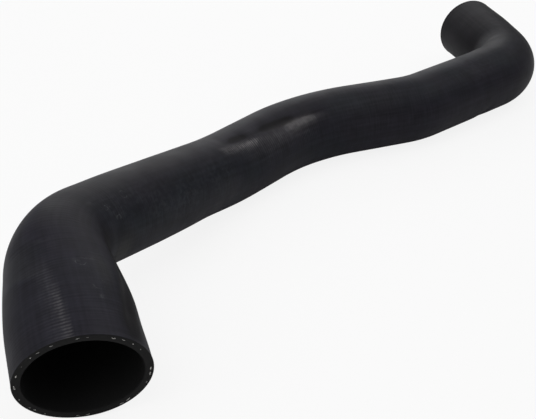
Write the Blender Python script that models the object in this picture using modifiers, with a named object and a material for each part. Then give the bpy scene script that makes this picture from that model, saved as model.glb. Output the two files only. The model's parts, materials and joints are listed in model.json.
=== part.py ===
"""Charge air hose: one moulded rubber tube with a wide end, two elbows and a gently swaying run.

The hose lies as it comes to rest. Its run lies flat on the ground, and the wide near end tips
down until its rim touches the ground too, which lifts the near elbow. The origin is on the
ground, under the middle of the hose. X runs along the length, the near end opens towards -Y
and the far end towards +Y. Units are metres, and angles are in degrees.
"""

import math

import bpy
from mathutils import Vector

# Bores and wall. The outside follows from them.
NEAR_BORE = 0.065
RUN_BORE = 0.047
FAR_BORE = 0.050
WALL = 0.005

# The straight cuff at each end, and the length over which it eases into the run.
NEAR_CUFF = 0.026
NEAR_EASE = 0.100
FAR_CUFF = 0.030
FAR_EASE = 0.040

# Straight stretches, from the near end to the far end.
NEAR_STRAIGHT = 0.075
DROP_STRAIGHT = 0.139
SWAY_STRAIGHT = 0.038
MIDDLE_STRAIGHT = 0.050
RUN_STRAIGHT = 0.095
FAR_STRAIGHT = 0.061

# Bend radii on the centre line, between those stretches.
NEAR_ELBOW = 0.054
FIRST_SWAY = 0.160
SECOND_SWAY = 0.170
THIRD_SWAY = 0.070
FAR_ELBOW = 0.056

# Headings in the ground plane, from +X towards +Y, and climbs above it.
NEAR_HEADING, NEAR_CLIMB = 90.0, 16.5
DROP_HEADING, DROP_CLIMB = 42.5, -11.3
SWAY_HEADING = 33.5
MIDDLE_HEADING = 4.0
RUN_HEADING = 23.5
FAR_HEADING, FAR_CLIMB = 90.0, 3.5
LEVEL = 0.0

# How finely the tube is cut into rings and sides.
RING_STEP = 0.018
RING_TURN = 8.0
EXTRA_SIDES = 12    # added in pairs to Blender's four-sided bevel, which gives 28 sides

RUBBER_COLOUR = (0.020, 0.020, 0.024, 1.0)
RUBBER_ROUGHNESS = 0.55


def clear_scene():
    """Start from an empty scene."""
    for item in list(bpy.data.objects):
        bpy.data.objects.remove(item, do_unlink=True)


def make_collection(name):
    """Return a collection of this name, linked to the scene."""
    collection = bpy.data.collections.new(name)
    bpy.context.scene.collection.children.link(collection)
    return collection


def make_material(name, colour, roughness):
    """A plain Principled material."""
    material = bpy.data.materials.new(name)
    material.use_nodes = True
    shader = material.node_tree.nodes["Principled BSDF"]
    shader.inputs["Base Color"].default_value = colour
    shader.inputs["Roughness"].default_value = roughness
    shader.inputs["Metallic"].default_value = 0.0
    material.diffuse_color = colour
    return material


def direction(heading, climb):
    """Unit vector for a heading in the ground plane and a climb above it."""
    heading, climb = math.radians(heading), math.radians(climb)
    level = math.cos(climb)
    return Vector((level * math.cos(heading), level * math.sin(heading), math.sin(climb)))


def straight_points(start, along, length):
    """Points after start on a straight stretch."""
    steps = max(1, math.ceil(length / RING_STEP))
    return [start + along * (length * i / steps) for i in range(1, steps + 1)]


def bend_points(start, before, after, radius):
    """Points after start on an arc that turns one direction into the next."""
    turn = before.angle(after)
    inward = (after - before * before.dot(after)).normalized()
    steps = max(1, math.ceil(math.degrees(turn) / RING_TURN))
    points = []
    for i in range(1, steps + 1):
        angle = turn * i / steps
        ahead = before * (radius * math.sin(angle))
        aside = inward * (radius * (1.0 - math.cos(angle)))
        points.append(start + ahead + aside)
    return points


def route():
    """Centre line of the hose, from the near end to the far end."""
    stretches = [
        (direction(NEAR_HEADING, NEAR_CLIMB), NEAR_STRAIGHT, NEAR_ELBOW),
        (direction(DROP_HEADING, DROP_CLIMB), DROP_STRAIGHT, FIRST_SWAY),
        (direction(SWAY_HEADING, LEVEL), SWAY_STRAIGHT, SECOND_SWAY),
        (direction(MIDDLE_HEADING, LEVEL), MIDDLE_STRAIGHT, THIRD_SWAY),
        (direction(RUN_HEADING, LEVEL), RUN_STRAIGHT, FAR_ELBOW),
        (direction(FAR_HEADING, FAR_CLIMB), FAR_STRAIGHT, None),
    ]
    points = [Vector((0.0, 0.0, 0.0))]
    for number, (along, length, radius) in enumerate(stretches):
        points += straight_points(points[-1], along, length)
        if radius is not None:
            after = stretches[number + 1][0]
            points += bend_points(points[-1], along, after, radius)
    return points


def distances(points):
    """Distance of each point from the near end, along the centre line."""
    travelled = [0.0]
    for previous, point in zip(points, points[1:]):
        travelled.append(travelled[-1] + (point - previous).length)
    return travelled


def ease(distance, start, length):
    """A smooth rise from 0 to 1 that begins at start and takes this length."""
    share = min(max((distance - start) / length, 0.0), 1.0)
    return 0.5 - 0.5 * math.cos(math.pi * share)


def outer_radius(distance, total):
    """Outside radius: wide near cuff, slim run, and a slightly wider far cuff."""
    near = NEAR_BORE / 2 + WALL
    run = RUN_BORE / 2 + WALL
    far = FAR_BORE / 2 + WALL
    after_near = near + (run - near) * ease(distance, NEAR_CUFF, NEAR_EASE)
    far_share = ease(distance, total - FAR_CUFF - FAR_EASE, FAR_EASE)
    return after_near + (far - run) * far_share


def tube_surface(name, points, radii):
    """Open tube mesh that follows the points, with a radius for each of them."""
    curve = bpy.data.curves.new(name, "CURVE")
    curve.dimensions = "3D"
    curve.twist_mode = "MINIMUM"
    curve.bevel_depth = 1.0
    curve.bevel_resolution = EXTRA_SIDES
    curve.use_fill_caps = False
    spline = curve.splines.new("POLY")
    spline.points.add(len(points) - 1)
    for station, point, radius in zip(spline.points, points, radii):
        station.co = (*point, 1.0)
        station.radius = radius
    guide = bpy.data.objects.new(name + "_route", curve)
    bpy.context.scene.collection.objects.link(guide)
    evaluated = guide.evaluated_get(bpy.context.evaluated_depsgraph_get())
    mesh = bpy.data.meshes.new_from_object(evaluated)
    bpy.data.objects.remove(guide, do_unlink=True)
    mesh.name = name
    return mesh


def seat_on_ground(mesh):
    """Move the mesh so that the middle of its underside is at the origin."""
    corners = [vertex.co for vertex in mesh.vertices]
    low = Vector([min(corner[axis] for corner in corners) for axis in range(3)])
    high = Vector([max(corner[axis] for corner in corners) for axis in range(3)])
    middle = (low + high) / 2
    for vertex in mesh.vertices:
        vertex.co -= Vector((middle.x, middle.y, low.z))


def build_hose(collection, material):
    """The hose: its outer skin with the rubber wall grown inwards."""
    points = route()
    travelled = distances(points)
    radii = [outer_radius(distance, travelled[-1]) for distance in travelled]
    mesh = tube_surface("hose", points, radii)
    seat_on_ground(mesh)
    mesh.materials.clear()
    mesh.materials.append(material)
    mesh.shade_smooth()
    mesh.set_sharp_from_angle(angle=math.radians(40.0))
    hose = bpy.data.objects.new("hose", mesh)
    collection.objects.link(hose)
    wall = hose.modifiers.new("wall", "SOLIDIFY")
    wall.thickness = WALL
    wall.offset = -1.0
    wall.use_even_offset = True
    wall.use_rim = True
    return hose


def main():
    clear_scene()
    collection = make_collection("charge_air_hose")
    rubber = make_material("rubber", RUBBER_COLOUR, RUBBER_ROUGHNESS)
    build_hose(collection, rubber)


main()
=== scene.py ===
# %% [markdown]
# # Charge air hose
# A charge air hose carries warm air under pressure from a turbocharger to its cooler, or from the
# cooler to the engine. This one is moulded rubber with woven threads inside its wall. It is wide
# at the near end and slimmer along its run, with an elbow at each end, and it keeps its form when
# it lies on a table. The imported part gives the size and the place. This lesson builds what the eye
# sees: a finer skin with the marks of its making, the cut face with its thread ends, and the
# rubber itself.

# %% Load the part and note its size
import json
import math
import random
from collections import namedtuple

import bmesh
import bpy
from mathutils import Matrix, Vector, noise
from mathutils.kdtree import KDTree


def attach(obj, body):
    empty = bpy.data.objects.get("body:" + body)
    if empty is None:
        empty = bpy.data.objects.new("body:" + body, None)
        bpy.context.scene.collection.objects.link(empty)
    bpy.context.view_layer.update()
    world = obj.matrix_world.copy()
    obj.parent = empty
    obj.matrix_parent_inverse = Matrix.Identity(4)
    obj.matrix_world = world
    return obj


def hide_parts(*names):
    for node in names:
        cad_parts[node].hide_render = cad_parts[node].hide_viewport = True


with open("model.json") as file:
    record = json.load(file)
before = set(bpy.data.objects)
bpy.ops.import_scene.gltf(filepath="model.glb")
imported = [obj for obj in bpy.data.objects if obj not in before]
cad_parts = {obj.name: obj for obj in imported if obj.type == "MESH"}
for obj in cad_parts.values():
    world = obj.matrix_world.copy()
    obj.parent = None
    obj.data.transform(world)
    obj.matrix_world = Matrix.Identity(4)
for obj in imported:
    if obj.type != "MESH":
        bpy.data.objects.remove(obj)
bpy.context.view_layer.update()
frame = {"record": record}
mounts = {mount["name"]: mount for mount in frame["record"]["mounts"]}

# %% [markdown]
# ## Helpers
# Every piece is a bmesh that becomes an object at the origin, with its place in its mesh. Normals
# are recalculated when the shape is closed, so that its faces point outwards.

# %% Turn a bmesh into an object
def finish_piece(name, bm, material):
    """Close a bmesh into an object with this material, with its faces pointing outwards."""
    bmesh.ops.recalc_face_normals(bm, faces=bm.faces)
    mesh = bpy.data.meshes.new(name)
    bm.to_mesh(mesh)
    bm.free()
    mesh.materials.append(material)
    piece = bpy.data.objects.new(name, mesh)
    bpy.context.scene.collection.objects.link(piece)
    print(name, "has", len(mesh.polygons), "faces")
    return piece


# %% [markdown]
# ## The way the hose runs
# The middle line of a formed hose is a chain of straight stretches and bends, which is how the
# maker's drawing gives it. Each stretch has a heading in the ground plane, a climb above it, a
# length, and the radius of the bend that follows. A drawn curve could follow it as well, but the
# chain keeps the bends as true arcs.

# %% Headings, lengths and bends of the hose
Stretch = namedtuple("Stretch", "heading climb length bend")
STRETCHES = [
    Stretch(90, 16.5, 0.075, 0.054),
    Stretch(42.5, -11.3, 0.139, 0.160),
    Stretch(33.5, 0.0, 0.038, 0.170),
    Stretch(4, 0.0, 0.050, 0.070),
    Stretch(23.5, 0.0, 0.095, 0.056),
    Stretch(90, 3.5, 0.061, None),
]
straight = sum(stretch.length for stretch in STRETCHES)
print(len(STRETCHES), "straight stretches,", round(1000 * straight), "mm together")

# %% [markdown]
# A straight stretch gives points in a row. A bend is an arc, where the sine of the angle says how
# far it has gone ahead, and the cosine how far aside.

# %% Turn the stretches into points
FINE_STEP = 0.0004


def direction(heading, climb):
    """Unit vector for a heading from +X towards +Y, and a climb above the ground."""
    heading, climb = math.radians(heading), math.radians(climb)
    level = math.cos(climb)
    return Vector((level * math.cos(heading), level * math.sin(heading), math.sin(climb)))


def straight_points(start, along, length):
    """Points after start on a straight stretch."""
    steps = math.ceil(length / FINE_STEP)
    return [start + along * (length * i / steps) for i in range(1, steps + 1)]


def bend_points(start, before, after, radius):
    """Points after start on an arc that turns one direction into the next."""
    turn = before.angle(after)
    inward = (after - before * before.dot(after)).normalized()
    steps = math.ceil(turn * radius / FINE_STEP)
    points = []
    for i in range(1, steps + 1):
        angle = turn * i / steps
        ahead = before * (radius * math.sin(angle))
        aside = inward * (radius * (1.0 - math.cos(angle)))
        points.append(start + ahead + aside)
    return points


def middle_line(start):
    """Closely spaced points from the near end to the far end."""
    points = [start]
    for number, stretch in enumerate(STRETCHES):
        along = direction(stretch.heading, stretch.climb)
        points += straight_points(points[-1], along, stretch.length)
        if stretch.bend is not None:
            following = STRETCHES[number + 1]
            after = direction(following.heading, following.climb)
            points += bend_points(points[-1], along, after, stretch.bend)
    return points


# %% [markdown]
# The route starts in the middle of the near opening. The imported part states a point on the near
# face, in the middle of the wall's width beside the bore, and the centre is a mean radius from it.

# %% Start at the near opening
NEAR_BORE = 0.065
RUN_BORE = 0.047
FAR_BORE = 0.050
WALL = 0.005
near_face = Vector(mounts["near_end_face"]["pos_m"])
near_mean_radius = (NEAR_BORE + WALL) / 2
start = near_face - Vector((near_mean_radius, 0.0, 0.0))
line = middle_line(start)
print("the middle line has", len(line), "points and ends at", [round(c, 4) for c in line[-1]])

# %% [markdown]
# ## Rings across the hose
# The skin is made of rings that stand square to the middle line. They are spaced by half the pitch
# of the wrap: a hose is cured inside a tight cloth tape, and every thread of the tape presses a
# fine groove across it. With one ring on each groove and one on each crest, the ribs are real.

# %% A station on the middle line
Station = namedtuple("Station", "distance point along left top")
UP = Vector((0.0, 0.0, 1.0))


def make_station(distance, point, along):
    """A place on the middle line, with the directions to the hose's left and top."""
    left = UP.cross(along).normalized()
    return Station(distance, point, along, left, along.cross(left))


# %% Space the rings evenly along the middle line
RIB_PITCH = 0.0021


def lengths_along(points):
    """Distance of each point from the first one, along the line."""
    travelled = [0.0]
    for previous, point in zip(points, points[1:]):
        travelled.append(travelled[-1] + (point - previous).length)
    return travelled


def evenly(points, spacing):
    """Stations at this spacing, or a little less, so that the last one is on the last point."""
    travelled = lengths_along(points)
    total = travelled[-1]
    steps = math.ceil(total / spacing)
    stations = []
    i = 0
    for step in range(steps + 1):
        distance = total * step / steps
        while i < len(points) - 2 and travelled[i + 1] < distance:
            i += 1
        share = (distance - travelled[i]) / (travelled[i + 1] - travelled[i])
        before = points[max(i - 1, 0)]
        beyond = points[min(i + 2, len(points) - 1)]
        along = (beyond - before).normalized()
        stations.append(make_station(distance, points[i].lerp(points[i + 1], share), along))
    return stations


stations = evenly(line, RIB_PITCH / 2)
TOTAL = stations[-1].distance
print(len(stations), "rings over", round(1000 * TOTAL), "mm")

# %% [markdown]
# ## How wide it is
# The near cuff is straight so that it can sit on its pipe. Behind it the hose eases down to the
# width of the run, and near the far end it swells a little to the far cuff.

# %% Outside radius along the hose
NEAR_CUFF = 0.026
NEAR_EASE = 0.100
FAR_CUFF = 0.030
FAR_EASE = 0.040
SKIN_ROOM = 0.00017


def ease(distance, begin, length):
    """A smooth rise from 0 to 1 that begins here and takes this length."""
    share = min(max((distance - begin) / length, 0.0), 1.0)
    return 0.5 - 0.5 * math.cos(math.pi * share)


def outside_radius(distance):
    """Outside radius, a hair inside the part's own so that no rib stands out of its box."""
    near, run, far = (bore / 2 + WALL for bore in (NEAR_BORE, RUN_BORE, FAR_BORE))
    after_near = near + (run - near) * ease(distance, NEAR_CUFF, NEAR_EASE)
    swell = (far - run) * ease(distance, TOTAL - FAR_CUFF - FAR_EASE, FAR_EASE)
    return after_near + swell - SKIN_ROOM


widths = [2000 * outside_radius(distance) for distance in (0.0, TOTAL / 2, TOTAL)]
print("across the near end, the run and the far end in mm:", [round(width, 1) for width in widths])

# %% [markdown]
# ## Sweeping the tube
# A circle is drawn at the near opening and extruded from ring to ring, first along the outside,
# then inwards across the far cut face, and back through the bore. The last ring meets the first
# across the near cut face. Extruding a circle keeps every side in line, and gives even faces.

# %% Extrude a ring from one station to the next
SIDES = 112


def ring_place(station, radius):
    """Where a circle of radius 1 goes to become the ring of this radius at this station."""
    turn = Matrix((station.left, station.top, station.along)).transposed().to_4x4()
    return Matrix.Translation(station.point) @ turn @ Matrix.Scale(radius, 4)


def extrude_ring(bm, ring, move):
    """Extrude a ring of edges, move the copy, and return the copy's edges."""
    grown = bmesh.ops.extrude_edge_only(bm, edges=ring)["geom"]
    corners = [item for item in grown if isinstance(item, bmesh.types.BMVert)]
    for corner in corners:
        corner.co = move @ corner.co
    fresh = set(corners)
    edges = [item for item in grown if isinstance(item, bmesh.types.BMEdge)]
    return [edge for edge in edges if fresh.issuperset(edge.verts)]


def sweep(bm, ring, places):
    """Extrude a ring through these places, the first of which is where it is now."""
    for now, after in zip(places, places[1:]):
        ring = extrude_ring(bm, ring, after @ now.inverted())
    return ring


# %% [markdown]
# The bore is smooth, so every sixth ring is enough for it. The marks on the skin will be numbers at
# its corners, and its patterns need a UV map, so both get their layers before the sweep.

# %% Sweep the outside, the far face and the bore
BORE_SKIP = 6

hose_bm = bmesh.new()
MARKS = ("burnish_and_highlight", "scuff", "dust", "cool", "painted_shading")
mark_layers = {mark: hose_bm.verts.layers.float.new(mark) for mark in MARKS}
uv_layer = hose_bm.loops.layers.uv.new("skin")
circle = bmesh.ops.create_circle(hose_bm, segments=SIDES, radius=1.0)
bmesh.ops.transform(
    hose_bm,
    matrix=ring_place(stations[0], outside_radius(0.0)),
    verts=circle["verts"],
)
first_ring = list(hose_bm.edges)
outside = [ring_place(station, outside_radius(station.distance)) for station in stations]
bore_stations = stations[::-BORE_SKIP]
if bore_stations[-1] is not stations[0]:
    bore_stations.append(stations[0])
bore = [ring_place(s, outside_radius(s.distance) - WALL) for s in bore_stations]
last_ring = sweep(hose_bm, first_ring, outside + bore)
bmesh.ops.bridge_loops(hose_bm, edges=first_ring + last_ring)
print("the swept tube has", len(hose_bm.faces), "faces")

# %% [markdown]
# ## Softened rims
# The ends are cut square, but a knife leaves no razor edge in rubber. The four rims get a narrow
# bevel. A rim is found by its faces, which meet there at a right angle.

# %% Bevel the four rims
RIM_ROUND = 0.0005
RIM_ANGLE = math.radians(60.0)
bmesh.ops.recalc_face_normals(hose_bm, faces=hose_bm.faces)
rims = [edge for edge in hose_bm.edges if edge.calc_face_angle() > RIM_ANGLE]
bmesh.ops.bevel(
    hose_bm,
    geom=rims,
    offset=RIM_ROUND,
    offset_type="OFFSET",
    affect="EDGES",
    segments=3,
    profile=0.5,
    material=-1,
)
print(len(rims), "rim edges were bevelled")

# %% [markdown]
# ## Finding a place on the skin
# Marks on a hose are easiest to describe by how far along it they are, and how far round from the
# top. Each corner of the mesh is measured that way from the station nearest to it. Round counts in
# degrees, from the top towards the right of someone who looks from the near end to the far end.

# %% Measure each corner along and round the hose
tree = KDTree(len(stations))
for number, station in enumerate(stations):
    tree.insert(station.point, number)
tree.balance()
Spot = namedtuple("Spot", "number distance around radius outward outside")


def spot_of(point):
    """Where a point is on the hose: its station, its angle from the top, and its radius."""
    number = tree.find(point)[1]
    station = stations[number]
    offset = point - station.point
    offset -= station.along * offset.dot(station.along)
    angle = math.degrees(math.atan2(-offset.dot(station.left), offset.dot(station.top)))
    radius = offset.length
    on_skin = radius > outside_radius(station.distance) - WALL / 2
    return Spot(number, station.distance, angle, radius, offset.normalized(), on_skin)


spots = {vert: spot_of(vert.co) for vert in hose_bm.verts}
print(sum(spot.outside for spot in spots.values()), "of", len(spots), "corners are outside")


# %% [markdown]
# ## Form of the soft ends and bends
# Rubber that is pulled off its former while it is warm doesn't stay true. The wide mouth has gone a
# little oval and leans to one side, the inside of an elbow is drawn in, and there are shallow dents
# and soft folds. The mouth's share moves the bore with the skin, so that the wall keeps its width.

# %% The oval mouth
MOUTH_LEAN = 0.0012
MOUTH_LEAN_TOWARDS = 32.0
MOUTH_OVAL = 0.00152
MOUTH_OVAL_TOWARDS = -57.0
MOUTH_FADE = 0.070


def mouth_form(distance, around):
    """How far the wide end's wall lies outside its true circle."""
    lean = MOUTH_LEAN * math.cos(math.radians(around - MOUTH_LEAN_TOWARDS))
    oval = MOUTH_OVAL * math.cos(2.0 * math.radians(around - MOUTH_OVAL_TOWARDS))
    return (lean + oval) * (1.0 - ease(distance, 0.0, MOUTH_FADE))


print("the mouth leaves its circle by up to", round(1000 * (MOUTH_LEAN + MOUTH_OVAL), 1), "mm")

# %% [markdown]
# A dent or a swelling is a smooth bell, given by its middle, its height, and how far it spreads
# along and round. A sculpting brush makes the same form by hand, but a formula can be run again.

# %% Bells
FULL_TURN = 360.0
HALF_TURN = FULL_TURN / 2
Bell = namedtuple("Bell", "distance around height spread_along spread_round")


def turn_between(first, second):
    """Smallest turn from the second angle to the first, in degrees."""
    return (first - second + HALF_TURN) % FULL_TURN - HALF_TURN


def bell_share(spot, bell):
    """How strongly a bell acts at this spot, from 0 to 1."""
    ahead = (spot.distance - bell.distance) / bell.spread_along
    aside = math.radians(turn_between(spot.around, bell.around)) * spot.radius / bell.spread_round
    return math.exp(-(ahead * ahead + aside * aside) / 2.0)


# %% [markdown]
# A band follows a path on the skin. It spreads separately to either side, the side of the lesser
# angles and the side of the greater ones, and its ends fade out.

# %% Bands
Band = namedtuple("Band", "path lesser_side greater_side fade height")


def gap_to_leg(spot, begin, end):
    """Distance on the skin from a spot to one leg of a path, and which side it is on."""
    width = math.radians(turn_between(spot.around, begin[1])) * spot.radius
    leg = Vector((end[0] - begin[0], math.radians(end[1] - begin[1]) * spot.radius))
    here = Vector((spot.distance - begin[0], width))
    share = min(max(here.dot(leg) / leg.length_squared, 0.0), 1.0)
    side = math.copysign(1.0, leg.x * here.y - leg.y * here.x)
    return (here - leg * share).length, side


def gap_to_path(spot, path):
    """Distance on the skin from a spot to a path, with a sign for the side."""
    gaps = [gap_to_leg(spot, begin, end) for begin, end in zip(path, path[1:])]
    gap, side = min(gaps)
    return gap * side


def band_share(spot, band):
    """How strongly a band acts at this spot, from 0 to 1."""
    begin, end = band.path[0][0], band.path[-1][0]
    if not begin < spot.distance < end:
        return 0.0
    gap = gap_to_path(spot, band.path)
    spread = band.greater_side if gap > 0.0 else band.lesser_side
    ends = ease(spot.distance, begin, band.fade) * ease(end - spot.distance, 0.0, band.fade)
    return ends * math.exp(-(gap / spread) ** 2 / 2.0)


def sum_of(marks, share, spot):
    """All of these marks together at this spot."""
    return sum(mark.height * share(spot, mark) for mark in marks)


# %% [markdown]
# Two creases lie on the run, one after the other. The inner side of the near leg is drawn in along
# a line that leads into its elbow, and a low ridge runs through the far elbow.

# %% Where the dents and folds are
BELLS = [
    Bell(0.026, 82, -0.0006, 0.009, 0.018),
    Bell(0.115, -60, -0.0011, 0.022, 0.020),
    Bell(0.104, 84, -0.0016, 0.006, 0.011),
    Bell(0.255, 132, -0.0013, 0.022, 0.014),
    Bell(0.566, 130, -0.0012, 0.0045, 0.006),
    Bell(0.690, -95, -0.0014, 0.018, 0.018),
    Bell(0.467, 12, 0.0003, 0.0025, 0.0025),
]
FIRST_CREASE = [(0.268, 17), (0.279, 18.5), (0.292, 19.5), (0.304, 21), (0.314, 22)]
SECOND_CREASE = [
    (0.304, 24), (0.327, 25), (0.340, 28), (0.350, 31), (0.368, 32.5), (0.404, 36.5),
]
INNER_ELBOW = [
    (-0.010, 49), (0.016, 53), (0.034, 58), (0.050, 65), (0.070, 70), (0.108, 76),
]
FAR_RIDGE = [(0.582, -30), (0.626, -36), (0.646, -20)]
FOLDS = [
    Band(FIRST_CREASE, 0.006, 0.0026, 0.014, -0.0008),
    Band(SECOND_CREASE, 0.007, 0.0028, 0.024, -0.0015),
    Band(INNER_ELBOW, 0.0034, 0.004, 0.040, -0.0012),
    Band(FAR_RIDGE, 0.004, 0.004, 0.014, 0.0006),
]


def form_relief(spot):
    """Height that the dents and folds give this spot."""
    return sum_of(BELLS, bell_share, spot) + sum_of(FOLDS, band_share, spot)


print(len(BELLS), "bells and", len(FOLDS), "folds")

# %% [markdown]
# ## Burnished streaks and painted highlights
# Where the wrap was pulled tightest, it has pressed its ribs deep and burnished their crests. These
# streaks catch the light, and their light colour is a painted highlight. Each has a sharp side, a
# soft side and ends that fade out.

# %% Where the streaks are
NEAR_RIDGE = [(-0.020, -6), (0.001, -6.5), (0.013, -8), (0.026, -9), (0.042, -11)]
NEAR_SOFT_STREAK = [(-0.030, -8), (0.012, -10), (0.033, -13), (0.066, -18)]
# Each streak presses the ribs deeper, smooths the skin, and paints a highlight on it.
STREAKS = [
    Band(NEAR_RIDGE, 0.002, 0.0008, 0.016, 0.28),
    Band(NEAR_SOFT_STREAK, 0.0058, 0.0018, 0.024, 0.12),
    Band([(0.261, 28), (0.276, 31.5), (0.290, 33.5), (0.317, 38)], 0.0018, 0.0026, 0.010, 0.58),
    Band([(0.278, 29), (0.297, 33), (0.307, 36), (0.330, 42)], 0.0014, 0.002, 0.016, 0.24),
    Band([(0.270, 42), (0.320, 50), (0.350, 55), (0.394, 62)], 0.006, 0.007, 0.040, 0.10),
    Band([(0.312, 41), (0.334, 43), (0.349, 45), (0.376, 49)], 0.0034, 0.0044, 0.020, 0.24),
    Band([(0.341, 41), (0.352, 40.5), (0.366, 41), (0.386, 41.5)], 0.002, 0.003, 0.012, 0.85),
    Band([(0.350, 39.5), (0.366, 40), (0.380, 41), (0.398, 42.5)], 0.0013, 0.0024, 0.018, 0.24),
]


def burnish_and_highlight_at(spot):
    """How strongly the streaks mark this spot, with burnishing and a painted highlight."""
    if not spot.outside:
        return 0.0
    return min(sum_of(STREAKS, band_share, spot), 1.0)


burnish_and_highlight = {vert: burnish_and_highlight_at(spot) for vert, spot in spots.items()}
print("the streaks mark", sum(share > 0.1 for share in burnish_and_highlight.values()), "corners")

# %% [markdown]
# ## Relief of the skin
# The ribs are deep in those streaks and faint elsewhere, and the cloth never pulls quite evenly, so
# the surface also swells and sinks very slightly over a few centimetres.

# %% Ribs and slow unevenness
RIB_HEIGHT = 0.0001
FAINT_RIBS = 0.22
STREAK_RIBS = 1.2
RIB_PATCH = 0.030
PATCH_MEAN, PATCH_RANGE = 0.7, 0.6
SWELL_HEIGHT = 0.00024
SWELL_SIZE = 0.035
RIM_CALM = 0.003


def rib_relief(spot, point, pressed):
    """Depth of the wrap's ribs here: every second ring lies lower."""
    if spot.number % 2 == 0:
        return 0.0
    patch = PATCH_MEAN + PATCH_RANGE * noise.noise(point / RIB_PATCH)
    return -RIB_HEIGHT * min(FAINT_RIBS * patch + STREAK_RIBS * pressed, 1.0)


def swell_relief(point):
    """Slow unevenness, always inwards."""
    return SWELL_HEIGHT * (noise.noise(point / SWELL_SIZE) - 1.0) * 0.5


def relief(spot, point, pressed):
    """How far this spot moves outwards: the mouth's form everywhere, the rest on the outside."""
    height = mouth_form(spot.distance, spot.around)
    if spot.outside:
        calm = ease(spot.distance, 0.0, RIM_CALM) * ease(TOTAL - spot.distance, 0.0, RIM_CALM)
        ribs = rib_relief(spot, point, pressed)
        height += calm * (ribs + swell_relief(point) + form_relief(spot))
    return height


# %% [markdown]
# Each corner then moves straight away from the middle line by its height. A displacement map could
# do the same when the picture is made, but corners that have moved also show in the outline.

# %% Move every corner to its height
heights = {vert: relief(spot, vert.co, burnish_and_highlight[vert]) for vert, spot in spots.items()}
for vert, height in heights.items():
    vert.co += spots[vert].outward * height
lowest, highest = min(heights.values()), max(heights.values())
print("heights from", round(1000 * lowest, 2), "to", round(1000 * highest, 2), "mm")

# %% [markdown]
# A rib has a crest and a groove, and smooth shading would average both away. The ring edges on the
# outside are marked sharp, so that each little slope keeps its own light.

# %% Keep the slopes of the ribs crisp
for edge in hose_bm.edges:
    first, second = (spots[vert] for vert in edge.verts)
    if first.outside and second.outside and first.number == second.number:
        edge.smooth = False
print(sum(not edge.smooth for edge in hose_bm.edges), "edges are sharp")

# %% [markdown]
# ## Marks of handling
# Besides the streaks, four kinds of mark are painted on the corners of the mesh, as numbers. An
# image could hold them too, but the mesh is fine enough to hold them itself. Handling has left
# small scuffs, and dust clings in patches.

# %% Where the scuffs and the dust are
SCUFFS = [
    Bell(0.112, 31, 0.20, 0.0016, 0.0018),
    Bell(0.128, 58, 0.16, 0.004, 0.0024),
    Bell(0.075, -17, 0.25, 0.0008, 0.003),
    Bell(0.053, 11, 0.45, 0.0014, 0.001),
    Bell(0.056, 23, 0.30, 0.0007, 0.003),
    Bell(0.027, 26, 0.80, 0.0008, 0.0009),
    Bell(0.467, 12, 0.40, 0.0016, 0.0014),
]
DUST = [
    Bell(0.130, 52, 0.9, 0.010, 0.007),
    Bell(0.152, 44, 0.6, 0.012, 0.006),
    Bell(0.172, 62, 0.9, 0.014, 0.010),
    Bell(0.205, 72, 1.0, 0.016, 0.010),
    Bell(0.246, 62, 0.8, 0.016, 0.010),
    Bell(0.560, 20, 0.5, 0.020, 0.010),
    Bell(0.655, -10, 0.5, 0.014, 0.006),
]
print(len(SCUFFS), "scuffs and", len(DUST), "patches of dust")

# %% [markdown]
# Some patches have a cooler tint. Other parts of the skin are lighter or darker than the rest, which
# is painted light and shade: painted shade darkens the creases, and a painted highlight lightens the
# ridge of the far elbow.

# %% Where the cool patches and the painted light and shade are
COOL = [
    Bell(0.045, -62, 1.0, 0.030, 0.018),
    Bell(0.085, -75, 0.7, 0.030, 0.014),
    Bell(0.200, 75, 1.0, 0.045, 0.014),
    Bell(0.330, 80, 0.7, 0.050, 0.012),
    Bell(0.470, 30, 0.6, 0.050, 0.012),
    Bell(0.600, 25, 0.6, 0.040, 0.012),
]
# Painted light and shade in spots: a height above 0 paints light, and below 0 paints shade.
PAINTED_SHADING_SPOTS = [
    Bell(0.049, 37, 0.60, 0.009, 0.0045),
    Bell(0.080, 34, -0.25, 0.014, 0.006),
    Bell(0.390, 5, 0.30, 0.026, 0.006),
    Bell(0.318, 58, 0.25, 0.018, 0.006),
    Bell(0.104, 84, -1.0, 0.006, 0.011),
    Bell(0.133, 112, 1.5, 0.006, 0.007),
    Bell(0.672, -73, -0.9, 0.016, 0.012),
    Bell(0.036, -38, 0.22, 0.014, 0.012),
    Bell(0.122, 3, -0.38, 0.024, 0.012),
    Bell(0.195, 3, -0.50, 0.040, 0.010),
    Bell(0.440, 54, 0.30, 0.035, 0.012),
    Bell(0.681, -48, 0.25, 0.012, 0.010),
]
# Painted shade in the creases and along the inner elbow, and a painted highlight on the far ridge.
PAINTED_SHADING_BANDS = [
    Band(INNER_ELBOW, 0.0046, 0.0072, 0.026, -1.6),
    Band(FIRST_CREASE, 0.002, 0.0016, 0.012, -0.5),
    Band([(0.282, 19), (0.292, 18.5), (0.300, 20), (0.310, 22.5)], 0.0024, 0.0018, 0.009, -1.4),
    Band(SECOND_CREASE, 0.002, 0.0016, 0.018, -0.7),
    Band([(0.320, 24.5), (0.334, 27), (0.349, 31), (0.364, 32.5)], 0.003, 0.0019, 0.011, -1.8),
    Band(FAR_RIDGE, 0.003, 0.003, 0.014, 0.45),
]
print(len(COOL), "cool patches and", len(PAINTED_SHADING_SPOTS) + len(PAINTED_SHADING_BANDS), "shades")

# %% [markdown]
# The shade of the cuff isn't a bell or a band. It covers one side, from the rim up to a line that
# slants across it, and the skin beyond the line is lighter for a few centimetres.

# %% The shade of the cuff
CUFF_LINE = [(-63, 0.056), (-26, 0.048)]
CUFF_LINE_WIDTH = 0.006
CUFF_DARKER, CUFF_LIGHTER = 0.40, 0.35
CUFF_SIDE = (-110.0, -40.0)
CUFF_SIDE_FADE = 30.0
CUFF_REACH = 0.066
CUFF_REACH_FADE = 0.030


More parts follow.
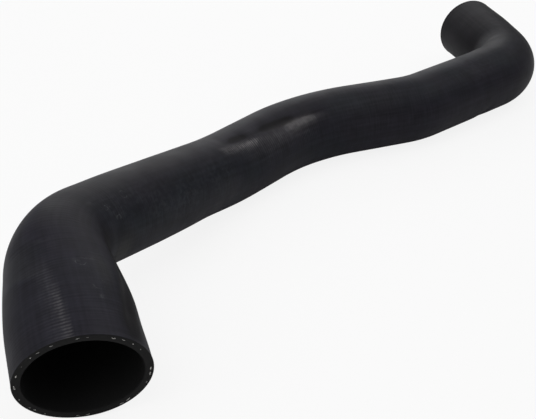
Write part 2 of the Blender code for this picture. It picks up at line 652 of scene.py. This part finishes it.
def cuff_shade(spot):
    """Darker up to a slanting line on the cuff, and lighter beyond it."""
    (first_around, first_distance), (last_around, last_distance) = CUFF_LINE
    share = (spot.around - first_around) / (last_around - first_around)
    line_here = first_distance + (last_distance - first_distance) * share
    window = ease(spot.around, CUFF_SIDE[0], CUFF_SIDE_FADE)
    window *= 1.0 - ease(spot.around, CUFF_SIDE[1], CUFF_SIDE_FADE)
    window *= 1.0 - ease(spot.distance, CUFF_REACH, CUFF_REACH_FADE)
    beyond = ease(spot.distance, line_here - CUFF_LINE_WIDTH / 2, CUFF_LINE_WIDTH)
    return window * ((CUFF_DARKER + CUFF_LIGHTER) * beyond - CUFF_DARKER)


# %% [markdown]
# A streak's painted highlight is bright on the crests of its ribs, which are the even rings, and
# almost bare in the grooves between them. Where scuffs or patches of one kind overlap, the strongest
# one counts.

# %% Paint the marks
CREST_SHARE = {0: 1.0, 1: 0.08}


def strongest(spot, marks):
    """The strongest of these marks at this spot."""
    return max(mark.height * bell_share(spot, mark) for mark in marks)


# The streaks' mark paints a highlight on the crests. The shading mark paints light and shade.
for vert, spot in spots.items():
    if spot.outside:
        shade = sum_of(PAINTED_SHADING_SPOTS, bell_share, spot) + sum_of(PAINTED_SHADING_BANDS, band_share, spot)
        vert[mark_layers["burnish_and_highlight"]] = burnish_and_highlight[vert] * CREST_SHARE[spot.number % 2]
        vert[mark_layers["scuff"]] = strongest(spot, SCUFFS)
        vert[mark_layers["dust"]] = strongest(spot, DUST)
        vert[mark_layers["cool"]] = strongest(spot, COOL)
        vert[mark_layers["painted_shading"]] = shade + cuff_shade(spot)
print("painted on the corners:", ", ".join(MARKS))

# %% [markdown]
# ## A map for the patterns
# Curled scuffs and the faint lines of the cloth follow the skin, so it gets a UV map: across is the
# share of the way round, and up is the share of the way along the hose. The join is underneath.

# %% Lay out the UV map
for face in hose_bm.faces:
    angles = [spots[loop.vert].around for loop in face.loops]
    crosses_join = max(angles) - min(angles) > HALF_TURN
    for loop in face.loops:
        spot = spots[loop.vert]
        turned = spot.around + (FULL_TURN if crosses_join and spot.around < 0.0 else 0.0)
        loop[uv_layer].uv = (turned / FULL_TURN + 0.5, spot.distance / TOTAL)
print("the map covers", len(hose_bm.faces), "faces")

# %% [markdown]
# ## Rubber
# Charcoal rubber is nearly black, with a cool cast where it is clean and a warmer one where it has
# dulled. It is matt, but its skin shines softly at a low angle.

# %% Helpers for shader nodes
def new_material(name):
    """An empty node material, with its shader and its node tree."""
    material = bpy.data.materials.new(name)
    material.use_nodes = True
    tree_of_nodes = material.node_tree
    return material, tree_of_nodes, tree_of_nodes.nodes["Principled BSDF"]


def add_noise(nodes, links, vector, scale, detail=4.0, roughness=0.55):
    """A noise texture on this vector."""
    texture = nodes.new("ShaderNodeTexNoise")
    texture.inputs["Scale"].default_value = scale
    texture.inputs["Detail"].default_value = detail
    texture.inputs["Roughness"].default_value = roughness
    links.new(vector, texture.inputs["Vector"])
    return texture.outputs["Fac"]


def add_range(nodes, links, value, low, high, to_low, to_high):
    """Map a value from one range to another, and hold it inside that one."""
    mapped = nodes.new("ShaderNodeMapRange")
    mapped.inputs["From Min"].default_value = low
    mapped.inputs["From Max"].default_value = high
    mapped.inputs["To Min"].default_value = to_low
    mapped.inputs["To Max"].default_value = to_high
    links.new(value, mapped.inputs["Value"])
    return mapped.outputs["Result"]


def add_mix(nodes, links, share, first, second):
    """Mix two colours by a share."""
    mix = nodes.new("ShaderNodeMix")
    mix.data_type = "RGBA"
    mix.inputs["A"].default_value = (*first, 1.0)
    mix.inputs["B"].default_value = (*second, 1.0)
    links.new(share, mix.inputs["Factor"])
    return mix.outputs["Result"]


# %% [markdown]
# A painted mark reaches the shader as an attribute. Sums and products combine the marks, and then
# each one lays its own colour over what is under it.

# %% Helpers that read a mark and lay colours over each other
def add_attribute(nodes, name):
    """The number that the mesh holds under this name."""
    attribute = nodes.new("ShaderNodeAttribute")
    attribute.attribute_name = name
    return attribute.outputs["Fac"]


def add_math(nodes, links, operation, first, second):
    """A sum or product of two values, either of which may be a plain number."""
    step = nodes.new("ShaderNodeMath")
    step.operation = operation
    for socket, value in zip(step.inputs, (first, second)):
        if isinstance(value, float):
            socket.default_value = value
        else:
            links.new(value, socket)
    return step.outputs["Value"]


def add_cover(nodes, links, under, share, colour):
    """A colour laid over another, as far as the share says."""
    mix = nodes.new("ShaderNodeMix")
    mix.data_type = "RGBA"
    mix.inputs["B"].default_value = (*colour, 1.0)
    links.new(under, mix.inputs["A"])
    links.new(share, mix.inputs["Factor"])
    return mix.outputs["Result"]


# %% [markdown]
# The blacks of the skin lie close together, and small steps between them show. Dust is a little
# blue, the painted shade of a crease is almost black, and the painted highlight on a burnished crest
# is by far the lightest.

# %% Colours of the skin
VIOLET_RUBBER = (0.0126, 0.0116, 0.0176)
TEAL_RUBBER = (0.0098, 0.012, 0.0168)
# Painted light and painted shade for the skin.
PAINTED_LIGHT_RUBBER = (0.0264, 0.0262, 0.028)
PAINTED_SHADE_RUBBER = (0.0028, 0.002, 0.0038)
DUSTY_RUBBER = (0.031, 0.033, 0.038)
# The colour of the burnished crests is a painted highlight.
PAINTED_HIGHLIGHT_RUBBER = (0.205, 0.195, 0.198)
SCUFFED_RUBBER = (0.070, 0.071, 0.076)
FADED_RUBBER = (0.0118, 0.0112, 0.0136)
# A bluish haze, with painted light that lightens the near end.
HAZE_AND_LIGHT_RUBBER = (0.0186, 0.0178, 0.0256)
print("clean rubber is", VIOLET_RUBBER, "or", TEAL_RUBBER)

# %% [markdown]
# Clean skin goes from a violet cast to a teal one in soft clouds, and the cool patches push it
# towards teal. The near end has a bluish haze with painted light that makes it lighter, and the far
# end turns to a plainer black.

# %% Clouds, and how the colour changes along the hose
CLOUD_SCALE = 24.0
HAZE_AND_LIGHT_FROM, HAZE_AND_LIGHT_TO, HAZE_AND_LIGHT_SHARE = 0.03, 0.16, 0.6
FADED_FROM, FADED_TO, FADED_SHARE = 0.78, 0.93, 0.9

rubber, rubber_tree, rubber_shader = new_material("charcoal_rubber")
nodes, links = rubber_tree.nodes, rubber_tree.links
coordinates = nodes.new("ShaderNodeTexCoord")
place = coordinates.outputs["Object"]
clouds = add_range(nodes, links, add_noise(nodes, links, place, CLOUD_SCALE), 0.40, 0.62, -0.35, 0.45)
cooler = add_math(nodes, links, "ADD", clouds, add_attribute(nodes, "cool"))
patches = add_range(nodes, links, cooler, 0.0, 1.0, 0.0, 1.0)
along_hose = nodes.new("ShaderNodeSeparateXYZ")
links.new(coordinates.outputs["UV"], along_hose.inputs["Vector"])
faded = add_range(nodes, links, along_hose.outputs["Y"], FADED_FROM, FADED_TO, 0.0, FADED_SHARE)
# The near end gets its haze and its painted light.
haze_and_light = add_range(nodes, links, along_hose.outputs["Y"], HAZE_AND_LIGHT_FROM, HAZE_AND_LIGHT_TO, HAZE_AND_LIGHT_SHARE, 0.0)
print("the far end turns plainer from", round(1000 * FADED_FROM * TOTAL), "mm on")

# %% [markdown]
# A painted mark has smooth edges, which real scuffs and dust don't. Each is multiplied by a fine
# noise that is mapped to a hard range, so that it breaks up into specks. The streaks are broken
# only in part, because their ribs already do most of it.

# %% Break the marks up
SCUFF_GRAIN = 180.0
SPECK_GRAIN = 300.0
STREAK_GRAIN = 420.0
DUST_STRENGTH = 0.40
STREAK_LEAST = 0.55
broken = add_range(nodes, links, add_noise(nodes, links, place, SCUFF_GRAIN), 0.42, 0.62, 0.0, 1.0)
specks = add_range(nodes, links, add_noise(nodes, links, place, SPECK_GRAIN), 0.44, 0.60, 0.0, 1.0)
streaky = add_noise(nodes, links, place, STREAK_GRAIN)
ragged = add_range(nodes, links, streaky, 0.38, 0.58, STREAK_LEAST, 1.0)
faint_dust = add_math(nodes, links, "MULTIPLY", add_attribute(nodes, "dust"), DUST_STRENGTH)
dusty = add_math(nodes, links, "MULTIPLY", faint_dust, specks)
scuffed = add_math(nodes, links, "MULTIPLY", add_attribute(nodes, "scuff"), broken)
burnish_and_highlight_share = add_math(nodes, links, "MULTIPLY", add_attribute(nodes, "burnish_and_highlight"), ragged)
# The painted light and shade reach the shader here.
painted_shading = add_attribute(nodes, "painted_shading")
lighter = add_range(nodes, links, painted_shading, 0.0, 1.0, 0.0, 1.0)
darker = add_range(nodes, links, painted_shading, -1.0, 0.0, 1.0, 0.0)
print("specks are about", round(1000 / SPECK_GRAIN, 1), "mm apart")

# %% [markdown]
# The order matters, because a later colour hides an earlier one. Dust and scuffs come last, as they
# lie on top of the rubber.

# %% Lay the colours over each other
colour = add_mix(nodes, links, patches, VIOLET_RUBBER, TEAL_RUBBER)
colour = add_cover(nodes, links, colour, faded, FADED_RUBBER)
colour = add_cover(nodes, links, colour, haze_and_light, HAZE_AND_LIGHT_RUBBER)
# Painted light and painted shade are laid over the rubber here.
colour = add_cover(nodes, links, colour, lighter, PAINTED_LIGHT_RUBBER)
colour = add_cover(nodes, links, colour, darker, PAINTED_SHADE_RUBBER)
# The streaks lay their painted highlight over the rubber.
colour = add_cover(nodes, links, colour, burnish_and_highlight_share, PAINTED_HIGHLIGHT_RUBBER)
colour = add_cover(nodes, links, colour, dusty, DUSTY_RUBBER)
colour = add_cover(nodes, links, colour, scuffed, SCUFFED_RUBBER)
print("the rubber has", len(nodes), "nodes so far")

# %% [markdown]
# A few scuffs are curled, like the mark of a fingernail. They are thinner than the faces of the
# mesh, so the shader draws them.

# %% Where the curled scuffs are
Curl = namedtuple("Curl", "distance around radius strength")
CURLS = [
    Curl(0.1215, 45.5, 0.0019, 0.90),
    Curl(0.1268, 47.5, 0.0013, 0.75),
    Curl(0.1435, 36.5, 0.003, 0.70),
    Curl(0.129, 62.0, 0.0018, 0.75),
    Curl(0.053, 15.5, 0.0031, 0.60),
    Curl(0.036, 26.0, 0.0036, 0.35),
]
print(len(CURLS), "curled scuffs")

# %% [markdown]
# Scaling the UV map to metres unrolls the skin, with its width near the elbow, where most of the
# curls are. A noise then shifts each place a little, so that no curl is a perfect circle.

# %% Unroll the skin and bend it a little
ROUND_HERE = 0.217
CURL_BEND = 0.003
CURL_BEND_SCALE = 260.0


def add_vector_step(operation, first, second):
    """A sum, product or distance of two vectors, the second of which may be plain numbers."""
    step = nodes.new("ShaderNodeVectorMath")
    step.operation = operation
    links.new(first, step.inputs[0])
    if isinstance(second, tuple):
        step.inputs[1].default_value = second
    else:
        links.new(second, step.inputs[1])
    return step


skin_size = (ROUND_HERE, TOTAL, 0.0)
unrolled = add_vector_step("MULTIPLY", coordinates.outputs["UV"], skin_size).outputs["Vector"]
bend_noise = nodes.new("ShaderNodeTexNoise")
bend_noise.inputs["Scale"].default_value = CURL_BEND_SCALE
links.new(unrolled, bend_noise.inputs["Vector"])
sway = add_vector_step("MULTIPLY", bend_noise.outputs["Color"], (CURL_BEND, CURL_BEND, 0.0))
bent = add_vector_step("ADD", unrolled, sway.outputs["Vector"]).outputs["Vector"]
print("the unrolled skin is", round(1000 * ROUND_HERE), "by", round(1000 * TOTAL), "mm")

# %% [markdown]
# A curl is a thin ring: its mark is strongest where the distance to its middle is its radius. The
# noise of the dust breaks the rings into arcs and dots.

# %% Draw the curls
CURL_WIDTH = 0.00042


def add_curl(curl):
    """How strongly a curl marks the skin."""
    middle = ((curl.around / FULL_TURN + 0.5) * ROUND_HERE, curl.distance)
    bent_middle = (middle[0] + CURL_BEND / 2, middle[1] + CURL_BEND / 2, 0.0)
    gap = add_vector_step("DISTANCE", bent, bent_middle).outputs["Value"]
    past_ring = add_math(nodes, links, "SUBTRACT", gap, curl.radius)
    off_ring = add_math(nodes, links, "ABSOLUTE", past_ring, 0.0)
    return add_range(nodes, links, off_ring, 0.0, CURL_WIDTH, curl.strength, 0.0)


curled = 0.0
for curl in CURLS:
    curled = add_math(nodes, links, "MAXIMUM", add_curl(curl), curled)
curled = add_math(nodes, links, "MULTIPLY", curled, specks)
colour = add_cover(nodes, links, colour, curled, SCUFFED_RUBBER)
print("the rubber has", len(nodes), "nodes with them")

# %% [markdown]
# The cloth also leaves faint lines both ways: along the hose from the folds of the tape, and round
# it from the threads. The lines along the hose are partly painted reflection, streaks of light that
# the ribs throw. Two noises that are stretched on the UV map make them, and a third that isn't
# stretched makes it blotchy. Together they darken and lighten the colour.

# %% Faint lines along and round the hose
def add_stretched_noise(across, along):
    """A noise on the UV map with this many marks round the hose and along it."""
    stretched = nodes.new("ShaderNodeMapping")
    stretched.inputs["Scale"].default_value = (across, along, 1.0)
    links.new(coordinates.outputs["UV"], stretched.inputs["Vector"])
    return add_noise(nodes, links, stretched.outputs["Vector"], 1.0, detail=3.0)


BLOTCHES = 75.0
# Lines along the hose: folds of the tape, and partly painted reflection.
ALONG_LINES_AND_REFLECTIONS = (70.0, 9.0)
ROUND_LINES = (9.0, 520.0)
LINE_FROM, LINE_TO = 1.15, 1.85
LINE_STRENGTH = 0.34
both_ways = add_math(
    nodes, links, "ADD", add_stretched_noise(*ALONG_LINES_AND_REFLECTIONS), add_stretched_noise(*ROUND_LINES)
)
blotchy = add_math(nodes, links, "ADD", both_ways, add_noise(nodes, links, place, BLOTCHES))
darkest, lightest = 1.0 - LINE_STRENGTH, 1.0 + LINE_STRENGTH
line_gain = add_range(nodes, links, blotchy, LINE_FROM, LINE_TO, darkest, lightest)
scaled = nodes.new("ShaderNodeVectorMath")
scaled.operation = "SCALE"
links.new(colour, scaled.inputs["Vector"])
links.new(line_gain, scaled.inputs["Scale"])
links.new(scaled.outputs["Vector"], rubber_shader.inputs["Base Color"])
print("the lines change the colour by up to", round(100 * LINE_STRENGTH), "percent")

# %% [markdown]
# The skin shines a little unevenly. It is smoother where the streaks are burnished, and rougher in
# the creases. A very fine bump gives it the grain of the cloth, which is too small to model.

# %% The skin's shine and grain
RUBBER_SHINE = 0.13
SMOOTHEST, ROUGHEST = 0.50, 0.60
SHINE_PATCHES = 40.0
BURNISHED_ROUGHNESS = -0.18
CREASED_ROUGHNESS = 0.05
FINE_GRAIN = 900.0
GRAIN_STRENGTH = 0.12
GRAIN_DEPTH = 0.0001
shine_patches = add_noise(nodes, links, place, SHINE_PATCHES)
uneven = add_range(nodes, links, shine_patches, 0.3, 0.7, SMOOTHEST, ROUGHEST)
smoothed = add_math(nodes, links, "MULTIPLY", burnish_and_highlight_share, BURNISHED_ROUGHNESS)
creased = add_math(nodes, links, "MULTIPLY", darker, CREASED_ROUGHNESS)
gloss = add_math(nodes, links, "ADD", smoothed, creased)
links.new(add_math(nodes, links, "ADD", uneven, gloss), rubber_shader.inputs["Roughness"])
rubber_shader.inputs["Specular IOR Level"].default_value = RUBBER_SHINE
fine = add_noise(nodes, links, place, FINE_GRAIN, detail=2.0)
bump = nodes.new("ShaderNodeBump")
bump.inputs["Strength"].default_value = GRAIN_STRENGTH
bump.inputs["Distance"].default_value = GRAIN_DEPTH
links.new(fine, bump.inputs["Height"])
links.new(bump.outputs["Normal"], rubber_shader.inputs["Normal"])
print("the skin's roughness is", SMOOTHEST, "to", ROUGHEST)

# %% [markdown]
# The knife leaves the cut faces dull and neutral. The bore, which was moulded on a smooth former, is
# more even, and it is darker with painted shade from inside the tube. Each gets a plainer material of
# its own.

# %% Rubber of the cut faces and of the bore
PLAIN_GRAIN = 220.0
ROUGHNESS_SPREAD = 0.05


def plain_rubber(name, first, second, roughness, shine):
    """A dark rubber whose colour and roughness vary a little."""
    material, tree_of_nodes, shader = new_material(name)
    own_nodes, own_links = tree_of_nodes.nodes, tree_of_nodes.links
    where = own_nodes.new("ShaderNodeTexCoord").outputs["Object"]
    spread = add_noise(own_nodes, own_links, where, PLAIN_GRAIN)
    own_links.new(add_mix(own_nodes, own_links, spread, first, second), shader.inputs["Base Color"])
    low, high = roughness - ROUGHNESS_SPREAD, roughness + ROUGHNESS_SPREAD
    varied = add_range(own_nodes, own_links, spread, 0.3, 0.7, low, high)
    own_links.new(varied, shader.inputs["Roughness"])
    shader.inputs["Specular IOR Level"].default_value = shine
    return material


CUT_COLOURS = (0.007, 0.007, 0.0071), (0.016, 0.016, 0.0162)
# The bore's darker colours are painted shade from inside the tube.
BORE_COLOURS = (0.0082, 0.0082, 0.0083), (0.010, 0.010, 0.0101)
cut_rubber = plain_rubber("cut_rubber", *CUT_COLOURS, 0.7, 0.10)
bore_rubber = plain_rubber("bore_rubber", *BORE_COLOURS, 0.7, 0.14)
print("also made:", cut_rubber.name, "and", bore_rubber.name)

# %% [markdown]
# A face belongs to a cut end if it is close to an end and looks along the hose. Any other face is
# skin or bore, whichever side of the wall's middle it is on. The number is its material slot.

# %% Sort the faces by how they were made
SKIN, CUT, BORE = range(3)
END_BAND = 0.001
FACING_ALONG = 0.5


def kind_of(face):
    """Whether a face is skin, a cut end or bore."""
    spot = spots[face.verts[0]]
    near_an_end = min(spot.distance, TOTAL - spot.distance) < END_BAND
    if near_an_end and abs(face.normal.dot(stations[spot.number].along)) > FACING_ALONG:
        return CUT
    depth = outside_radius(spot.distance) - spot.radius
    return SKIN if depth < WALL / 2 else BORE


hose_bm.normal_update()
for face in hose_bm.faces:
    face.material_index = kind_of(face)
kinds = [face.material_index for face in hose_bm.faces]
print("skin", kinds.count(SKIN), "cut ends", kinds.count(CUT), "bore", kinds.count(BORE))

# %% [markdown]
# The swept skin becomes one object with a slot for each of its three rubbers. It rides on the body
# of the part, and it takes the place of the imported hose.

# %% Make the hose from the swept skin
hose = finish_piece("moulded_hose", hose_bm, rubber)
hose.data.materials.append(cut_rubber)
hose.data.materials.append(bore_rubber)
hose.data.shade_smooth()
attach(hose, "root")
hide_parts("hose")

# %% [markdown]
# ## Thread ends
# The wall holds a woven cloth. Where the knife went through it, the ends of its white threads show
# as short dashes in the middle of the dark cut face. Painting them would leave them flat from the
# side, so each is a bundle of a few strands that stand a hair proud. On the near face they lie
# where a cut would leave them, in uneven steps.

# %% Where the bundles are on the near face
THREAD_DEPTH = 0.0019
Bundle = namedtuple("Bundle", "around size strands")
NEAR_BUNDLES = [
    Bundle(-126, 1.0, 4), Bundle(-119, 0.8, 3), Bundle(-101, 0.9, 3), Bundle(-83, 1.4, 5),
    Bundle(-68, 0.9, 3), Bundle(-55, 0.6, 2), Bundle(-43, 0.5, 2), Bundle(-36, 0.9, 3),
    Bundle(-23, 1.1, 3), Bundle(-2, 1.1, 4), Bundle(6, 0.5, 2), Bundle(29, 1.1, 4),
    Bundle(39, 0.9, 3), Bundle(50, 0.5, 2), Bundle(62, 0.7, 3), Bundle(93, 1.1, 4),
    Bundle(101, 1.2, 5), Bundle(112, 0.9, 4), Bundle(139, 1.3, 4), Bundle(146, 1.1, 4),
    Bundle(178, 1.1, 4), Bundle(-172, 0.9, 3), Bundle(-139, 0.6, 2),
]
print(len(NEAR_BUNDLES), "bundles on the near face")

# %% [markdown]
# Each strand is a ball that is stretched to a short thread. The strands of a bundle lie beside each
# other, each with its own length, width and tilt, because a knife drags them a little.

# %% Lay a bundle of strands into a cut face
STRAND_LENGTH = 0.00125
STRAND_LENGTHS = (0.55, 1.0)
STRAND_WIDTH = 0.00024
STRAND_WIDTHS = (0.7, 1.15)
STRAND_FLATNESS = 0.8
STRAND_SINK = 0.00011
STRAND_TILT = 24.0
BUNDLE_SPREAD = 0.6


def face_place(station, facing, around, radius):
    """Where something lies on a cut face: X runs round it, Y outwards, and Z off the face."""
    angle = math.radians(around)
    outward = station.top * math.cos(angle) - station.left * math.sin(angle)
    off = station.along * facing
    turn = Matrix((outward.cross(off), outward, off)).transposed().to_4x4()
    return Matrix.Translation(station.point + outward * radius) @ turn


def add_bundle(bm, place, bundle, draw):
    """A few strands side by side, each a stretched ball with its own tilt."""
    for strand in range(bundle.strands):
        shift = Vector((draw.uniform(-1.0, 1.0), draw.uniform(-0.9, 0.9), -STRAND_SINK))
        shift.x *= STRAND_LENGTH * bundle.size * BUNDLE_SPREAD
        shift.y *= STRAND_WIDTH * bundle.size
        tilt = Matrix.Rotation(math.radians(draw.uniform(-STRAND_TILT, STRAND_TILT)), 4, "Z")
        length = STRAND_LENGTH * bundle.size * draw.uniform(*STRAND_LENGTHS)
        width = STRAND_WIDTH * draw.uniform(*STRAND_WIDTHS)
        size = Matrix.Diagonal((length, width, width * STRAND_FLATNESS, 1.0))
        bmesh.ops.create_uvsphere(
            bm,
            u_segments=8,
            v_segments=5,
            radius=1.0,
            matrix=place @ Matrix.Translation(shift) @ tilt @ size,
        )


# %% [markdown]
# The near bundles go where the list says. The far ones are spaced by a random draw with a seed, so
# that they come out the same each time.

# %% Lay the bundles into both faces
DEPTH_CHANGES = (-0.0002, 0.0003)
FAR_SIZES = (0.6, 1.3)
FAR_STRANDS = (2, 3, 4)
FAR_FIRST = (0.0, 12.0)
FAR_GAPS = (9.0, 26.0)

draw = random.Random(23)
thread_bm = bmesh.new()
for bundle in NEAR_BUNDLES:
    depth = THREAD_DEPTH + draw.uniform(*DEPTH_CHANGES)
    radius = outside_radius(0.0) + mouth_form(0.0, bundle.around) - depth
    add_bundle(thread_bm, face_place(stations[0], -1.0, bundle.around, radius), bundle, draw)
around = draw.uniform(*FAR_FIRST)
while around < FULL_TURN:
    bundle = Bundle(around, draw.uniform(*FAR_SIZES), draw.choice(FAR_STRANDS))
    depth = THREAD_DEPTH + draw.uniform(*DEPTH_CHANGES)
    radius = outside_radius(TOTAL) - depth
    add_bundle(thread_bm, face_place(stations[-1], 1.0, around, radius), bundle, draw)
    around += draw.uniform(*FAR_GAPS)
print("the strands have", len(thread_bm.faces), "faces")

# %% [markdown]
# The thread is a dull white that has picked up some soot from the rubber, so a noise mixes it with
# a dirty grey.

# %% White thread
SOOTY_THREAD = (0.10, 0.10, 0.10)
CLEAN_THREAD = (0.62, 0.61, 0.58)
THREAD_GRAIN = 600.0

thread_white, thread_tree, thread_shader = new_material("white_thread")
thread_nodes, thread_links = thread_tree.nodes, thread_tree.links
thread_place = thread_nodes.new("ShaderNodeTexCoord").outputs["Object"]
speckle = add_noise(thread_nodes, thread_links, thread_place, THREAD_GRAIN)
clean = add_range(thread_nodes, thread_links, speckle, 0.35, 0.65, 0.0, 1.0)
thread_colour = add_mix(thread_nodes, thread_links, clean, SOOTY_THREAD, CLEAN_THREAD)
thread_links.new(thread_colour, thread_shader.inputs["Base Color"])
thread_shader.inputs["Roughness"].default_value = 0.85
thread_shader.inputs["Specular IOR Level"].default_value = 0.2
threads = finish_piece("thread_ends", thread_bm, thread_white)
threads.data.shade_smooth()
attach(threads, "root")

# %% [markdown]
# ## The white table
# The hose lies on a sheet of white paper that has no edge in sight. Part of what the camera sees of
# the sheet is its own even white, which only the camera's rays meet, so the sheet throws no extra
# light on the hose. The rest is lit paper, and keeps the soft shadow.

# %% Floor
PAPER_HALF_SIZE = 6.0
PAPER_GREY = 0.9
EVEN_SHARE = 0.86

floor_bm = bmesh.new()
bmesh.ops.create_grid(floor_bm, x_segments=1, y_segments=1, size=PAPER_HALF_SIZE)
paper, paper_tree, paper_shader = new_material("white_paper")
paper_shader.inputs["Base Color"].default_value = (PAPER_GREY, PAPER_GREY, PAPER_GREY, 1.0)
paper_shader.inputs["Roughness"].default_value = 0.9
even_white = paper_tree.nodes.new("ShaderNodeEmission")
even_white.inputs["Strength"].default_value = 1.0
seen = paper_tree.nodes.new("ShaderNodeLightPath").outputs["Is Camera Ray"]
even_here = add_math(paper_tree.nodes, paper_tree.links, "MULTIPLY", seen, EVEN_SHARE)
blend = paper_tree.nodes.new("ShaderNodeMixShader")
paper_tree.links.new(even_here, blend.inputs["Fac"])
paper_tree.links.new(paper_shader.outputs["BSDF"], blend.inputs[1])
paper_tree.links.new(even_white.outputs["Emission"], blend.inputs[2])
paper_out = paper_tree.nodes["Material Output"].inputs["Surface"]
paper_tree.links.new(blend.outputs["Shader"], paper_out)
floor = finish_piece("floor", floor_bm, paper)

# %% [markdown]
# ## Light
# The room itself gives a low, even light, and looks white where the camera meets it.

# %% World
ROOM_LIGHT = 0.22
SEEN_WHITE = 1.0

world = bpy.data.worlds.new("studio")
bpy.context.scene.world = world
world.use_nodes = True
sky_nodes, sky_links = world.node_tree.nodes, world.node_tree.links
background = sky_nodes["Background"]
background.inputs["Color"].default_value = (1.0, 1.0, 1.0, 1.0)
rays = sky_nodes.new("ShaderNodeLightPath").outputs["Is Camera Ray"]
strength = add_range(sky_nodes, sky_links, rays, 0.0, 1.0, ROOM_LIGHT, SEEN_WHITE)
sky_links.new(strength, background.inputs["Strength"])
print("the world is named", world.name)

# %% [markdown]
# A softbox is a broad area lamp, which gives shadows and highlights soft edges. Placed by heading
# and climb, each faces the hose from the same distance.

# %% Helper for a softbox
MIDDLE = Vector((0.0, 0.0, 0.05))
REACH = 1.6
SOFTBOX_HEIGHT = 1.1


def add_softbox(name, heading, climb, width, power):
    """A wide lamp at this heading and climb that faces the middle of the hose."""
    light = bpy.data.lights.new(name, "AREA")
    light.shape = "RECTANGLE"
    light.size = width
    light.size_y = SOFTBOX_HEIGHT
    light.energy = power
    lamp = bpy.data.objects.new(name, light)
    bpy.context.scene.collection.objects.link(lamp)
    towards = direction(heading, climb)
    lamp.location = MIDDLE + towards * REACH
    lamp.rotation_euler = towards.to_track_quat("Z", "Y").to_euler()
    print(name, "gives", power, "watts")


# %% [markdown]
# The key is high in front and to the left. Two weaker ones fill the sides, and two stand behind,
# where the lower one draws the narrow bright rim along the top.

# %% Lamps
add_softbox("key", 225.0, 50.0, 1.1, 8.6)
add_softbox("left", 180.0, 20.0, 1.1, 4.4)
add_softbox("right", 5.0, 50.0, 1.1, 6.0)
add_softbox("back", 78.0, 50.0, 1.5, 2.5)
add_softbox("back_low", 80.0, 20.0, 1.5, 7.4)

# %% [markdown]
# ## Camera
# The camera looks down along the hose from beyond its near end.

# %% Camera
CAMERA_PLACE = (-0.261, -0.6447, 0.3764)
CAMERA_PITCH = 29.5
CAMERA_YAW = 17.9
LENS_MM = 67.16

camera_data = bpy.data.cameras.new("camera")
camera_data.lens = LENS_MM
camera_data.sensor_width = 36.0
camera = bpy.data.objects.new("camera", camera_data)
bpy.context.scene.collection.objects.link(camera)
camera.location = CAMERA_PLACE
camera.rotation_euler = (math.radians(90.0 - CAMERA_PITCH), 0.0, math.radians(-CAMERA_YAW))
bpy.context.scene.camera = camera
print("the lens is", LENS_MM, "mm")

# %% [markdown]
# Plain colours, with no film look over them, keep the rubber as dark as it was made.

# %% View
view = bpy.context.scene.view_settings
view.view_transform = "Standard"
print("view transform:", view.view_transform)
